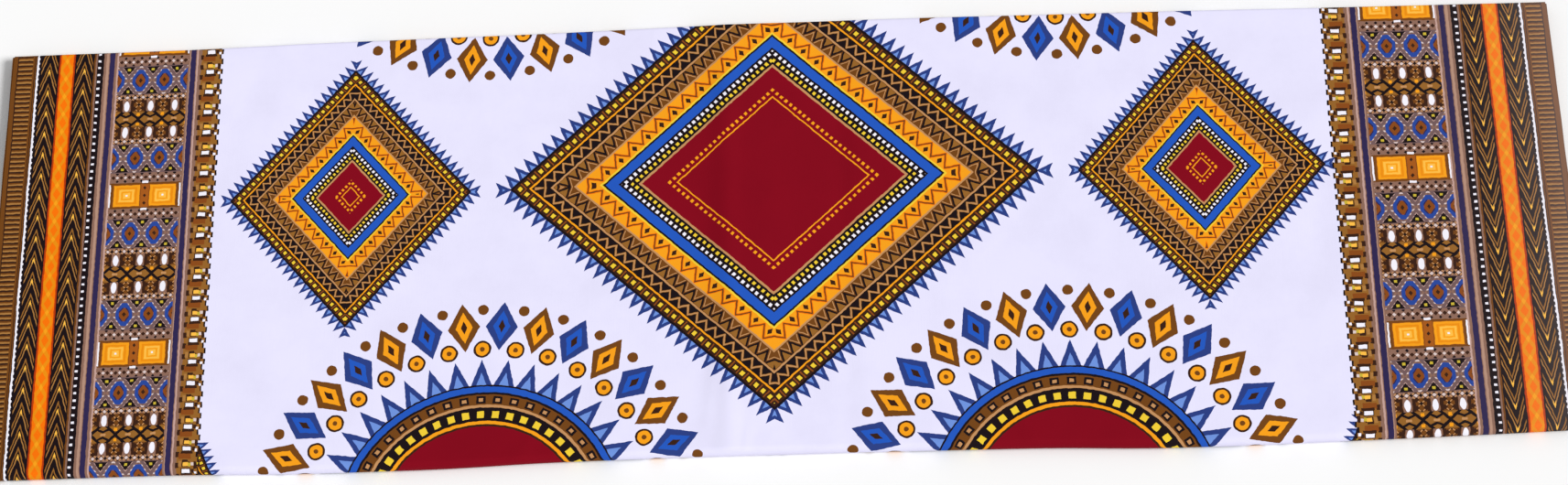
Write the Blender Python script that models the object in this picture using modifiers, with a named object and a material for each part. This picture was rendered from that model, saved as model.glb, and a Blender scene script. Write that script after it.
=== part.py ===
"""A six-yard piece of wax-print cotton, folded in half four times into a flat pack.

The pack lies on its underside with the loom width along X and the folded depth along Y.
Its big fold, eight layers turning round eight, faces -Y. At the back the upper eight layers
turn round each other, and the lower eight end in two smaller folds and the two cut ends.

The outermost layer is a wall with one solid for each stretch that shows. It starts at the
cut end under the pack, runs forward as the bottom panel, turns up round the front, runs back
as the top panel, turns down round the upper bundle and tucks in between the bundles. The
fourteen layers that it hides are one solid, whose edges step in and out layer by layer, as
the selvedges do on the real pack.
"""

import math

import bmesh
import bpy

INCH = 0.0254
YARD = 0.9144
MM = 0.001

# The cloth and how it is folded
LOOM_WIDTH = 46 * INCH
PIECE_LENGTH = 6 * YARD
HALVINGS = 4
LAYERS = 2**HALVINGS
LAYER_PITCH = 0.65 * MM
PACK_HEIGHT = LAYERS * LAYER_PITCH
FRONT_RADIUS = PACK_HEIGHT / 2
BACK_RADIUS = PACK_HEIGHT / 4

# Halving the piece again and again leaves groups of 1, 2, 4 and 8 folds, nested one inside
# the next. The cloth in those turns is all that the sixteen flat runs don't hold.
FOLD_GROUPS = [2**halving for halving in range(HALVINGS)]
CLOTH_IN_TURNS = sum(math.pi * LAYER_PITCH * folds**2 / 2 for folds in FOLD_GROUPS)
FLAT_RUN = (PIECE_LENGTH - CLOTH_IN_TURNS) / LAYERS
PACK_DEPTH = FRONT_RADIUS + FLAT_RUN + BACK_RADIUS

# How the solids are drawn. FUSE is how far neighbouring hidden layers reach into each other
# to become one solid, and END_STEP keeps their ends from lying in one plane. A turn at the
# back reaches TURN_ROOT of its radii into the layers, and TUCK is the outer layer's reach.
WALL = 1.0 * MM
GAP = 0.3 * MM
FUSE = 0.03 * MM
END_STEP = 0.2 * MM
ARC_STEPS = 12
TURN_STEPS = 8
TURN_ROOT = 3
SHARP_ANGLE = math.radians(40)
TUCK = 6.0 * MM
CUT_END_SETBACK = 3.0 * MM
UPPER_TURN_INSET_MM = 0.4
LARGEST_BULGE = 0.4 * MM

HALF_WIDTH = LOOM_WIDTH / 2
FRONT_Y = -PACK_DEPTH / 2 + LARGEST_BULGE
BACK_Y = PACK_DEPTH / 2
MIDDLE_Z = PACK_HEIGHT / 2

# The hidden layers: seven U-shaped pairs inside the outermost one, with the same middle
HIDDEN_PAIRS = LAYERS // 2 - 1
HIDDEN_BOTTOM = WALL + GAP
HIDDEN_TOP = PACK_HEIGHT - HIDDEN_BOTTOM
HIDDEN_PITCH = (HIDDEN_TOP - HIDDEN_BOTTOM) / (2 * HIDDEN_PAIRS)
SLOT_Y = BACK_Y - BACK_RADIUS - TUCK - GAP
NOSE_Y = BACK_Y - WALL - GAP

# Sections of the outer wall from the left selvedge to the right one. A soft ridge stands
# left of the middle, where the pack was once doubled over. The top panel rises over a flat
# inside, and the two folds are walls of even thickness.
SECTION_COLUMNS = ("x_mm", "top_rise_mm", "front_bulge_mm")
SECTIONS = (
    (-584.2, 0.00, 0.00),
    (-560.0, 0.15, 0.10),
    (-420.0, 0.30, 0.35),
    (-250.0, 0.25, 0.20),
    (-110.0, 0.30, 0.00),
    (-62.0, 0.35, 0.05),
    (-45.0, 0.60, 0.25),
    (-28.0, 0.35, 0.10),
    (60.0, 0.30, 0.00),
    (175.0, 0.40, 0.40),
    (300.0, 0.25, 0.15),
    (450.0, 0.30, 0.30),
    (560.0, 0.10, 0.10),
    (584.2, 0.00, 0.00),
)

# How far each hidden pair's selvedges stand past the outer layer's, and how far its lower
# cut or folded edge stays back from the pack's back edge
PAIR_COLUMNS = ("left_mm", "right_mm", "lower_setback_mm")
PAIRS = (
    (1.4, -0.9, 5.0),
    (-0.6, 1.2, 2.7),
    (2.0, -1.6, 3.0),
    (0.5, 0.8, 1.8),
    (-1.5, 2.0, 2.1),
    (1.1, -0.4, 2.4),
    (-0.2, 1.1, 10.0),
)

# Folds that close the bundles at the back, by the layers they join, counted from below
TURN_COLUMNS = ("first_layer", "last_layer", "nose_setback_mm", "left_mm", "right_mm")
LOWER_TURNS = (
    (3, 4, 2.0, 0.9, 0.3),
    (5, 7, 0.8, -0.5, 1.4),
)


def rows(columns, table):
    return [dict(zip(columns, row)) for row in table]


def arc(centre_y, centre_z, radius, start, end, steps=ARC_STEPS):
    """Points of a circular arc in the YZ plane, angles in degrees from +Y towards +Z."""
    points = []
    for step in range(steps + 1):
        angle = math.radians(start + (end - start) * step / steps)
        y = centre_y + radius * math.cos(angle)
        z = centre_z + radius * math.sin(angle)
        points.append((y, z))
    return points


def collection(name, is_helper=False):
    made = bpy.data.collections.new(name)
    bpy.context.scene.collection.children.link(made)
    made.hide_render = is_helper
    return made


def material(name, colour, roughness):
    made = bpy.data.materials.new(name)
    made.use_nodes = True
    shader = made.node_tree.nodes["Principled BSDF"]
    shader.inputs["Base Color"].default_value = (*colour, 1)
    shader.inputs["Roughness"].default_value = roughness
    shader.inputs["Metallic"].default_value = 0
    made.diffuse_color = (*colour, 1)
    return made


def add_object(name, mesh, place, is_helper=False):
    made = bpy.data.objects.new(name, mesh)
    place.objects.link(made)
    made.hide_render = is_helper
    if is_helper:
        made.display_type = "WIRE"
    return made


def bent_sheet(name, sections):
    """An open sheet through sections, each a list of points with as many as the next."""
    across = len(sections) - 1
    along = len(sections[0]) - 1
    bm = bmesh.new()
    bmesh.ops.create_grid(bm, x_segments=across, y_segments=along, size=1)
    for vert in bm.verts:
        section = sections[round((vert.co.x + 1) / 2 * across)]
        vert.co = section[round((vert.co.y + 1) / 2 * along)]
    mesh = bpy.data.meshes.new(name)
    bm.to_mesh(mesh)
    bm.free()
    return mesh


def plate(sheet, inside_z):
    """Closes a sheet with a flat inside at one height."""
    bm = bmesh.new()
    bm.from_mesh(sheet.data)
    made = bmesh.ops.extrude_face_region(bm, geom=bm.faces[:])
    for item in made["geom"]:
        if isinstance(item, bmesh.types.BMVert):
            item.co.z = inside_z
    bmesh.ops.recalc_face_normals(bm, faces=bm.faces)
    bm.to_mesh(sheet.data)
    bm.free()


def thicken(sheet, thickness):
    solidify = sheet.modifiers.new("cloth thickness", "SOLIDIFY")
    solidify.thickness = thickness
    solidify.offset = -1
    solidify.use_even_offset = True


def prism(name, outline, x_left, x_right):
    """A closed outline in the YZ plane, extruded along X."""
    bm = bmesh.new()
    face = bm.faces.new([bm.verts.new((x_left, y, z)) for y, z in outline])
    made = bmesh.ops.extrude_face_region(bm, geom=[face])
    moved = [item for item in made["geom"] if isinstance(item, bmesh.types.BMVert)]
    bmesh.ops.translate(bm, verts=moved, vec=(x_right - x_left, 0, 0))
    bmesh.ops.recalc_face_normals(bm, faces=bm.faces)
    mesh = bpy.data.meshes.new(name)
    bm.to_mesh(mesh)
    bm.free()
    return mesh


def smooth(made):
    made.data.shade_smooth()
    made.data.set_sharp_from_angle(angle=SHARP_ANGLE)


def outer_paths(top_rise, front_bulge):
    """Outer skin of each stretch of the outermost layer, in order from its cut end."""
    top_z = PACK_HEIGHT + top_rise
    turn_radius = (top_z - MIDDLE_Z) / 2
    front_middle_y = FRONT_Y + FRONT_RADIUS - front_bulge
    back_middle_y = BACK_Y - turn_radius
    turn_up = arc(front_middle_y, MIDDLE_Z, FRONT_RADIUS, 270, 90)
    turn_down = arc(back_middle_y, MIDDLE_Z + turn_radius, turn_radius, 90, -90)
    return {
        "bottom_panel": [(BACK_Y - CUT_END_SETBACK, 0), (front_middle_y + GAP, 0)],
        "front_fold": [(y, z * top_z / PACK_HEIGHT) for y, z in turn_up],
        "top_panel": [(front_middle_y + GAP, top_z), (back_middle_y - GAP, top_z)],
        "back_fold": turn_down + [(back_middle_y - TUCK, MIDDLE_Z)],
    }


def outer_layer(place):
    """The walls that show: bottom panel, front fold, top panel and the turn at the back."""
    sections = {}
    for section in rows(SECTION_COLUMNS, SECTIONS):
        paths = outer_paths(section["top_rise_mm"] * MM, section["front_bulge_mm"] * MM)
        for name, path in paths.items():
            points = [(section["x_mm"] * MM, y, z) for y, z in path]
            sections.setdefault(name, []).append(points)
    made = [add_object(name, bent_sheet(name, sections[name]), place) for name in sections]
    for stretch in made:
        if stretch.name == "top_panel":
            plate(stretch, PACK_HEIGHT - WALL)
        else:
            thicken(stretch, WALL)
        smooth(stretch)
    return made


def layer_bottom(position):
    """Height of the underside of a hidden layer, layers counted from 1 at the bottom."""
    return HIDDEN_BOTTOM + (position - 2) * HIDDEN_PITCH


def reaches_nose(position):
    """Whether an upper layer lies clear above the tucked-in wall."""
    return layer_bottom(position) > MIDDLE_Z + WALL + GAP


def upper_end(position):
    """Where an upper layer ends at the back: short of the tucked-in wall if level with it."""
    step = END_STEP * (LAYERS - position)
    if reaches_nose(position):
        return NOSE_Y - HIDDEN_PITCH * 2 - step
    return SLOT_Y - step


def hidden_pair(pair, ends, place):
    """One U-shaped pair of hidden layers, a lower and an upper one joined by the front fold."""
    radius = (HIDDEN_PAIRS + 1 - pair) * HIDDEN_PITCH
    path = [(BACK_Y - ends["lower_setback_mm"] * MM, MIDDLE_Z - radius)]
    path += arc(FRONT_Y + FRONT_RADIUS, MIDDLE_Z, radius, 270, 90)
    path.append((upper_end(LAYERS - pair), MIDDLE_Z + radius))
    stations = (-HALF_WIDTH - ends["left_mm"] * MM, HALF_WIDTH + ends["right_mm"] * MM)
    sections = [[(x, y, z) for y, z in path] for x in stations]
    name = f"pair_{pair}"
    made = add_object(name, bent_sheet(name, sections), place, is_helper=True)
    thicken(made, HIDDEN_PITCH + FUSE)
    return made


def innermost_pair(ends, place):
    """The two layers at the pack's middle, drawn as one prism that ends at the slot."""
    outline = arc(FRONT_Y + FRONT_RADIUS, MIDDLE_Z, HIDDEN_PITCH, 90, 270)
    end_y = upper_end(LAYERS - HIDDEN_PAIRS)
    outline += [(end_y, MIDDLE_Z - HIDDEN_PITCH), (end_y, MIDDLE_Z + HIDDEN_PITCH)]
    left = -HALF_WIDTH - ends["left_mm"] * MM
    right = HALF_WIDTH + ends["right_mm"] * MM
    return add_object("hidden_layers", prism("hidden_layers", outline, left, right), place)


def back_turn(name, first, last, nose_y, left, right, place):
    """A rounded edge that joins the layers from first to last at the back."""
    bottom = layer_bottom(first) - FUSE / 2
    top = layer_bottom(last + 1) + FUSE / 2
    radius = (top - bottom) / 2
    middle_y = nose_y - radius
    root_y = middle_y - TURN_ROOT * radius
    outline = arc(middle_y, bottom + radius, radius, -90, 90, TURN_STEPS)
    outline += [(root_y, top), (root_y, bottom)]
    x_left = -HALF_WIDTH - left * MM
    x_right = HALF_WIDTH + right * MM
    return add_object(name, prism(name, outline, x_left, x_right), place, is_helper=True)


def hidden_layers(place, helpers):
    """Fourteen layers as one solid, stepped layer by layer at every edge that shows."""
    pairs = rows(PAIR_COLUMNS, PAIRS)
    made = innermost_pair(pairs[-1], place)
    joined = []
    for number, ends in enumerate(pairs[:-1], start=1):
        joined.append(hidden_pair(number, ends, helpers))
    for number, turn in enumerate(rows(TURN_COLUMNS, LOWER_TURNS), start=1):
        nose_y = BACK_Y - turn["nose_setback_mm"] * MM
        name = f"lower_turn_{number}"
        layers = (turn["first_layer"], turn["last_layer"])
        joined.append(back_turn(name, *layers, nose_y, turn["left_mm"], turn["right_mm"], helpers))
    upper = [n for n in range(LAYERS // 2 + 1, LAYERS) if reaches_nose(n)]
    sides = [pairs[0][side] - UPPER_TURN_INSET_MM for side in ("left_mm", "right_mm")]
    joined.append(back_turn("upper_turn", upper[0], upper[-1], NOSE_Y, *sides, helpers))
    for piece in joined:
        union = made.modifiers.new(f"join {piece.name}", "BOOLEAN")
        union.operation = "UNION"
        union.solver = "MANIFOLD"
        union.object = piece
    return made


def main():
    for old in list(bpy.data.objects):
        bpy.data.objects.remove(old, do_unlink=True)
    place = collection("wax_print_fabric")
    helpers = collection("joined_layers", is_helper=True)
    for stretch in outer_layer(place):
        ground = material(f"printed cotton, {stretch.name}", (0.80, 0.78, 0.93), 0.62)
        stretch.data.materials.append(ground)
    hidden = hidden_layers(place, helpers)
    hidden.data.materials.append(material("printed cotton, border", (0.22, 0.13, 0.07), 0.68))


main()
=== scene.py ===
# %% [markdown]
# This lesson dresses a folded piece of wax-print cotton. The real thing is six yards of cloth,
# printed with a border along each selvedge, folded in half four times into a flat pack and
# laid on a table. The frame comes first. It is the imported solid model, which fixes how long,
# deep and high the pack is, and every length below is worked out from it.

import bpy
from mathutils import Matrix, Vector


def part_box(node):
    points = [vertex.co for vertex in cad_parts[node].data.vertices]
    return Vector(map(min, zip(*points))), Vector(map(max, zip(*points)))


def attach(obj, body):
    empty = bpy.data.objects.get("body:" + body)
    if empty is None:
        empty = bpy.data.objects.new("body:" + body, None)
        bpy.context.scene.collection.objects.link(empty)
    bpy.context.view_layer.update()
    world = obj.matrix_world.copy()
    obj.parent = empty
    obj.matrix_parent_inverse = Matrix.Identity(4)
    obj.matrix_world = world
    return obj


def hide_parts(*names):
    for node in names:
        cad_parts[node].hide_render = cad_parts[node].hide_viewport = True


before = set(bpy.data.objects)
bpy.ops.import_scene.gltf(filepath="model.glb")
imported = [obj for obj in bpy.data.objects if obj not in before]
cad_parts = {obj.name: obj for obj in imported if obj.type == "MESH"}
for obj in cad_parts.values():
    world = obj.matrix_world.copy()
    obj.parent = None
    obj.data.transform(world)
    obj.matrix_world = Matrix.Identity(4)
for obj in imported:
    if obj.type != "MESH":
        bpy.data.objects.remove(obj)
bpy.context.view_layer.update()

# %% [markdown]
# Blender works in metres, but cloth is easier to describe in millimetres. The pack's outer
# sizes are read from the solid pieces. Real printed cotton is about a third of a millimetre
# thick, so the sixteen layers lie loosely, with a little air between them.

# %% Sizes of the cloth and of the pack
import math

import bpy
import numpy as np

MM = 0.001
CLOTH = 0.32 * MM
HALVINGS = 4
LAYERS = 2**HALVINGS
SOLID_WALL = 1.0 * MM
LARGEST_BULGE = 0.4 * MM

HALF_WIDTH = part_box("bottom_panel")[1].x
PACK_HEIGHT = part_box("top_panel")[0].z + SOLID_WALL
FRONT_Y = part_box("front_fold")[0].y + LARGEST_BULGE
BACK_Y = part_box("back_fold")[1].y
PITCH = (PACK_HEIGHT - CLOTH) / (LAYERS - 1)
print(f"loom width {2 * HALF_WIDTH:.4f}, depth {BACK_Y - FRONT_Y:.4f}, height {PACK_HEIGHT:.4f} m")

# %% [markdown]
# The camera looks down on the pack from the front, a little turned. Its place was worked out
# from the four corners of the cloth in the photo, so the pack fills the picture the same way.

# %% Camera
CAMERA_PLACE = (0.158, -1.077, 2.455)
CAMERA_TURN_DEGREES = (23.62, 3.70, -0.42)
LENS_MM = 82.93
SENSOR_MM = 36.0

camera_data = bpy.data.cameras.new("camera")
camera_data.lens = LENS_MM
camera_data.sensor_fit = "HORIZONTAL"
camera_data.sensor_width = SENSOR_MM
camera = bpy.data.objects.new("camera", camera_data)
camera.location = CAMERA_PLACE
camera.rotation_euler = [math.radians(angle) for angle in CAMERA_TURN_DEGREES]
bpy.context.scene.collection.objects.link(camera)
bpy.context.scene.camera = camera
print(f"the camera looks from {CAMERA_PLACE[2]} m above the table")

# %% [markdown]
# The floor is plain and nearly white. The light is a bright room with one large soft lamp to
# the right, whose slanting light brings out the creases.

# %% Light and floor
ROOM_LIGHT = 0.44
LAMP_STRENGTH = 2.9
LAMP_TURN_DEGREES = (12, 50, 0)
LAMP_SPREAD_DEGREES = 24
FLOOR_SIZE = 40.0
FLOOR_DROP = 0.2 * MM
FLOOR_COLOUR = (0.95, 0.95, 0.95, 1)
FLOOR_ROUGHNESS = 0.9
FLOOR_GLOSS = 0.1

lamp_data = bpy.data.lights.new("soft_lamp", "SUN")
lamp_data.energy = LAMP_STRENGTH
lamp_data.angle = math.radians(LAMP_SPREAD_DEGREES)
lamp = bpy.data.objects.new("soft_lamp", lamp_data)
lamp.rotation_euler = [math.radians(angle) for angle in LAMP_TURN_DEGREES]
bpy.context.scene.collection.objects.link(lamp)

room = bpy.data.worlds.new("bright_room")
room.use_nodes = True
room.node_tree.nodes["Background"].inputs["Color"].default_value = (1, 1, 1, 1)
room.node_tree.nodes["Background"].inputs["Strength"].default_value = ROOM_LIGHT
bpy.context.scene.world = room
bpy.context.scene.view_settings.view_transform = "Standard"

bpy.ops.object.select_all(action="DESELECT")
bpy.ops.mesh.primitive_plane_add(size=FLOOR_SIZE, location=(0, 0, -FLOOR_DROP))
floor = bpy.context.object
floor.name = "floor"
floor_paint = bpy.data.materials.new("pale_floor")
floor_paint.use_nodes = True
floor_finish = floor_paint.node_tree.nodes["Principled BSDF"].inputs
floor_finish["Base Color"].default_value = FLOOR_COLOUR
floor_finish["Roughness"].default_value = FLOOR_ROUGHNESS
floor_finish["Specular IOR Level"].default_value = FLOOR_GLOSS
floor.data.materials.append(floor_paint)
print("room, lamp and floor are in place")

# %% [markdown]
# Folding in half four times puts sixteen panels on top of each other, but not in the order in
# which they follow along the cloth. The order comes from doing the folding on a list: the
# right half of the row of stacks is turned over onto the left half, until one stack is left.

# %% Which panel lies where


def folded_stack(panels):
    """Panel numbers from the bottom of the pack to its top."""
    stacks = [[panel] for panel in range(panels)]
    while len(stacks) > 1:
        half = len(stacks) // 2
        stacks = [stacks[i] + stacks[-1 - i][::-1] for i in range(half)]
    return stacks[0]


STACK = folded_stack(LAYERS)
LEVEL_OF_PANEL = [STACK.index(panel) + 1 for panel in range(LAYERS)]
print("panels from the bottom up:", STACK)

# %% [markdown]
# Seen from the side, the cloth is one long line: a straight run for each panel, and a half
# circle for each fold. All front folds share one centre, so they nest like the rings of an
# onion. The back folds do too, in three groups. Walking along this line gives, for any length
# along the cloth, the place where that length lies in the pack.

# %% The cloth's path through the pack
FRONT_CENTRE_Y = FRONT_Y + PACK_HEIGHT / 2
BACK_SETBACK = {12.5: 0.0, 6.5: 0.8 * MM, 3.5: 2.0 * MM}
FIRST_END_SETBACK = 3.0 * MM
LAST_END_SETBACK = 5.0 * MM


def fold_levels(fold):
    """Centre and radius of a fold, counted in layers. Fold number n joins panels n and n + 1."""
    here, there = LEVEL_OF_PANEL[fold], LEVEL_OF_PANEL[fold + 1]
    return (here + there) / 2, abs(here - there) / 2


def back_centre(fold):
    """Where the centre of a back fold lies, from the largest fold that nests round it."""
    centre = fold_levels(fold)[0]
    nested = [fold_levels(n)[1] for n in range(1, LAYERS - 1, 2) if fold_levels(n)[0] == centre]
    return BACK_Y - BACK_SETBACK[centre] - max(nested) * PITCH - CLOTH / 2


def panel_ends(panel):
    """Where a panel's straight run starts and ends, in the order of the cloth's length."""
    if panel == 0:
        return BACK_Y - FIRST_END_SETBACK, FRONT_CENTRE_Y
    if panel == LAYERS - 1:
        return FRONT_CENTRE_Y, BACK_Y - LAST_END_SETBACK
    if panel % 2:
        return FRONT_CENTRE_Y, back_centre(panel)
    return back_centre(panel - 1), FRONT_CENTRE_Y


def walk(run_steps, turn_steps):
    """Stations along the cloth: distance, place in the depth, level, and panel as a number
    that is halfway between two panels in the middle of their fold."""
    stations = []
    distance = 0.0
    for panel in range(LAYERS):
        start, end = panel_ends(panel)
        steps = run_steps[panel]
        for step in range(steps + 1):
            share = step / steps
            y = start + (end - start) * share
            stations.append((distance + abs(y - start), y, LEVEL_OF_PANEL[panel], panel))
        distance += abs(end - start)
        if panel == LAYERS - 1:
            break
        centre, radius = fold_levels(panel)
        side = -1 if panel % 2 == 0 else 1
        rising = LEVEL_OF_PANEL[panel + 1] > LEVEL_OF_PANEL[panel]
        steps = turn_steps[panel]
        for step in range(1, steps):
            angle = math.pi * step / steps
            y = end + side * radius * PITCH * math.sin(angle)
            level = centre - math.cos(angle) * radius * (1 if rising else -1)
            at = distance + radius * PITCH * angle
            stations.append((at, y, level, panel + step / steps))
        distance += math.pi * radius * PITCH
    return np.array(stations)


print(f"the big front fold has a radius of {fold_levels(0)[1] * PITCH / MM:.1f} mm")

# %% [markdown]
# The pack is not perfectly regular. Each fold line sits a millimetre or so to the left or the
# right, so the selvedges step in and out. The whole stack swells a little between its ends.
# Seen from above, the pack bows a few millimetres to the back, and its right end leans a
# little. A cloth simulation could give such shapes, but not the very ones in the photo. So the
# bow and the lean follow its outline, and the rest is listed.

# %% Small irregularities of a real pack
SHIFT_COLUMNS = ("fold", "shift_mm")
SHIFTS = (
    (-1, 0.0), (0, 0.0), (1, 0.1), (2, 0.6), (3, 0.4), (4, 0.2), (5, -0.5), (6, -1.3), (7, -0.2),
    (8, 0.9), (9, 1.2), (10, 1.6), (11, 0.5), (12, -0.7), (13, -1.0), (14, -1.1), (15, -0.8),
)
SECTION_COLUMNS = ("x_mm", "top_rise_mm", "front_bulge_mm")
SECTIONS = (
    (-584.2, 0.00, 0.00),
    (-560.0, 0.15, 0.10),
    (-420.0, 0.30, 0.35),
    (-250.0, 0.25, 0.20),
    (-110.0, 0.30, 0.00),
    (60.0, 0.30, 0.00),
    (175.0, 0.40, 0.40),
    (300.0, 0.25, 0.15),
    (450.0, 0.30, 0.30),
    (560.0, 0.10, 0.10),
    (584.2, 0.00, 0.00),
)
SLIP_COLUMNS = ("x_mm", "front_slip_mm", "back_slip_mm")
SLIPS = (
    (-584.2, 0.0, 0.8),
    (-440.0, 0.9, 0.9),
    (-350.0, -1.2, 2.8),
    (-240.0, -0.9, 3.4),
    (-170.0, 1.8, 3.9),
    (-60.0, 2.8, 5.8),
    (90.0, 2.7, 6.2),
    (200.0, 2.2, 5.0),
    (270.0, -0.8, 4.4),
    (340.0, -0.6, 3.6),
    (420.0, 0.9, 2.2),
    (500.0, 2.2, 1.4),
    (584.2, 4.2, 0.5),
)
SECTION_SMOOTHING_MM = 9
SLIP_SMOOTHING_MM = 26
PROFILE_END_MM = 720


def rows(columns, table):
    """A table's rows, each as a dictionary with the names of its columns."""
    return [dict(zip(columns, row)) for row in table]


def smooth_profile(sections, column, smoothing_mm):
    """A column of a table as a soft function of the place across the cloth."""
    places = np.arange(-PROFILE_END_MM, PROFILE_END_MM + 1)
    values = np.interp(places, [s["x_mm"] for s in sections], [s[column] for s in sections])
    reach = 3 * smoothing_mm
    window = np.exp(-((np.arange(-reach, reach + 1) / smoothing_mm) ** 2))
    soft = np.convolve(values, window / window.sum(), mode="same")
    return lambda x: np.interp(x / MM, places, soft) * MM


top_rise = smooth_profile(rows(SECTION_COLUMNS, SECTIONS), "top_rise_mm", SECTION_SMOOTHING_MM)
front_bulge = smooth_profile(rows(SECTION_COLUMNS, SECTIONS), "front_bulge_mm", SECTION_SMOOTHING_MM)
front_slip = smooth_profile(rows(SLIP_COLUMNS, SLIPS), "front_slip_mm", SLIP_SMOOTHING_MM)
back_slip = smooth_profile(rows(SLIP_COLUMNS, SLIPS), "back_slip_mm", SLIP_SMOOTHING_MM)
largest_slip = max(slip["back_slip_mm"] for slip in rows(SLIP_COLUMNS, SLIPS))
print(f"the pack bows up to {largest_slip} mm to the back")

# %% [markdown]
# Small creases and slow waves lie only in the upper layers. A ridge near the middle, steep to
# the left and soft to the right, remembers that the pack was once doubled over. Each crease is
# a long, low hump with soft ends, and each wave is a sine. Noise would be quicker to set up,
# but a table can put the ridge and the creases where the photo shows them.

# %% Creases and waves in the top layers
CREASE_COLUMNS = ("x_mm", "y_mm", "turn_degrees", "half_length_mm", "half_width_mm", "height_mm")
CREASES = (
    (-35.0, 5.0, 90.5, 230.0, 10.0, 1.25),
    (-13.0, 5.0, 90.0, 230.0, 28.0, 1.30),
    (52.0, 20.0, 91.0, 190.0, 8.0, -0.35),
    (64.0, 20.0, 91.0, 190.0, 12.0, 0.25),
    (-46.0, -120.0, 84.0, 40.0, 5.0, 0.30),
    (-180.0, -158.0, 62.0, 18.0, 4.0, 0.30),
    (182.0, -160.0, 118.0, 16.0, 3.5, 0.32),
    (-20.0, -162.0, 80.0, 13.0, 3.0, 0.26),
    (-330.0, -40.0, 24.0, 70.0, 12.0, 0.30),
    (-250.0, -110.0, -18.0, 80.0, 14.0, 0.34),
    (120.0, -115.0, 12.0, 90.0, 13.0, 0.32),
    (250.0, -125.0, -28.0, 70.0, 11.0, 0.30),
    (330.0, 90.0, 35.0, 60.0, 11.0, 0.28),
    (400.0, -10.0, 78.0, 80.0, 12.0, -0.26),
    (-400.0, 120.0, 70.0, 60.0, 12.0, -0.26),
    (-540.0, -60.0, 86.0, 110.0, 9.0, 0.22),
    (545.0, 40.0, 93.0, 120.0, 9.0, 0.22),
    (-120.0, 110.0, -35.0, 60.0, 9.0, -0.24),
    (190.0, 20.0, 55.0, 70.0, 10.0, -0.24),
)
WAVE_COLUMNS = ("length_mm", "turn_degrees", "start_degrees", "height_mm")
WAVES = (
    (210.0, 12.0, 40.0, 0.120),
    (133.0, -38.0, 110.0, 0.090),
    (94.0, 64.0, 10.0, 0.070),
    (71.0, 21.0, 200.0, 0.045),
    (52.0, -70.0, 300.0, 0.030),
)


def crease_relief(x, y):
    """Height of the creases and slow waves in the topmost layer."""
    height = np.zeros_like(x)
    for crease in rows(CREASE_COLUMNS, CREASES):
        turn = math.radians(crease["turn_degrees"])
        dx = x / MM - crease["x_mm"]
        dy = y / MM - crease["y_mm"]
        along = (dx * math.cos(turn) + dy * math.sin(turn)) / crease["half_length_mm"]
        across = (dy * math.cos(turn) - dx * math.sin(turn)) / crease["half_width_mm"]
        height += crease["height_mm"] * MM * np.exp(-(across**2) - along**4)
    for wave in rows(WAVE_COLUMNS, WAVES):
        turn = math.radians(wave["turn_degrees"])
        along = (x * math.cos(turn) + y * math.sin(turn)) / MM / wave["length_mm"]
        start = math.radians(wave["start_degrees"])
        height += wave["height_mm"] * MM * np.sin(2 * math.pi * along + start)
    return height


print(len(CREASES), "creases and", len(WAVES), "waves")

# %% [markdown]
# With the path and the irregularities, every point of the flat cloth gets its place in the
# pack. The weight of the cloth presses the lower layers flat, so creases fade out a few layers
# down. The selvedges, which nothing holds, also wave a little.

# %% Where a point of the flat cloth lies in the pack
RISE_POWER = 1.5
UPPER_LEVELS = 6.0
FRONT_REACH = 60 * MM
SELVEDGE_WAVE = 0.22 * MM
SELVEDGE_WAVE_LENGTH = 83 * MM
SELVEDGE_WAVE_POWER = 12
RIGHT_REACH = 1.2 * MM
RIGHT_LEAN = 3.6 * MM


def place_in_pack(u, station):
    """Where the cloth's point at u across and at a station along lies in the folded pack."""
    distance, y, level, panel = station
    shifts = rows(SHIFT_COLUMNS, SHIFTS)
    folds = [s["fold"] for s in shifts]
    shift = np.interp(panel - 0.5, folds, [s["shift_mm"] for s in shifts]) * MM
    edge = (np.abs(u) / HALF_WIDTH) ** SELVEDGE_WAVE_POWER
    wave = SELVEDGE_WAVE * edge * np.sin(2 * math.pi * distance / SELVEDGE_WAVE_LENGTH + np.sign(u))
    lean = RIGHT_REACH - RIGHT_LEAN * y / BACK_Y
    x = u + shift + wave + lean * np.clip(u / HALF_WIDTH, 0, 1) ** 2
    near_front = np.clip(1 - (y - FRONT_Y) / FRONT_REACH, 0, 1) ** 2
    y_moved = y - front_bulge(u) * near_front
    height = CLOTH / 2 + (level - 1) * PITCH
    share = (level / LAYERS) ** RISE_POWER
    upper = np.clip(1 - (LAYERS - level) / UPPER_LEVELS, 0, 1)
    z = height + top_rise(u) * share + crease_relief(u, y_moved) * upper
    depth_share = (y - FRONT_Y) / (BACK_Y - FRONT_Y)
    slip = front_slip(u) * (1 - depth_share) + back_slip(u) * depth_share
    return x, y_moved + slip, z


print(f"creases fade out over the upper {UPPER_LEVELS:.0f} layers")

# %% [markdown]
# Each point keeps its flat place in a UV map named cloth, in metres, which the print is drawn
# on. A second map, OFBake, is for a copy of the cloth whose print is turned into a picture. A
# picture is square and the cloth is long, so the face of the cloth is laid out in strips, one
# above the other, and its hidden lining gets a narrow strip at the top. The thin rims of the
# cloth get a few pixels of their own along the strips' edges.

# %% A map for a picture of the print
PICTURE_MARGIN = 0.006
PICTURE_RIM = 0.003


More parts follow.
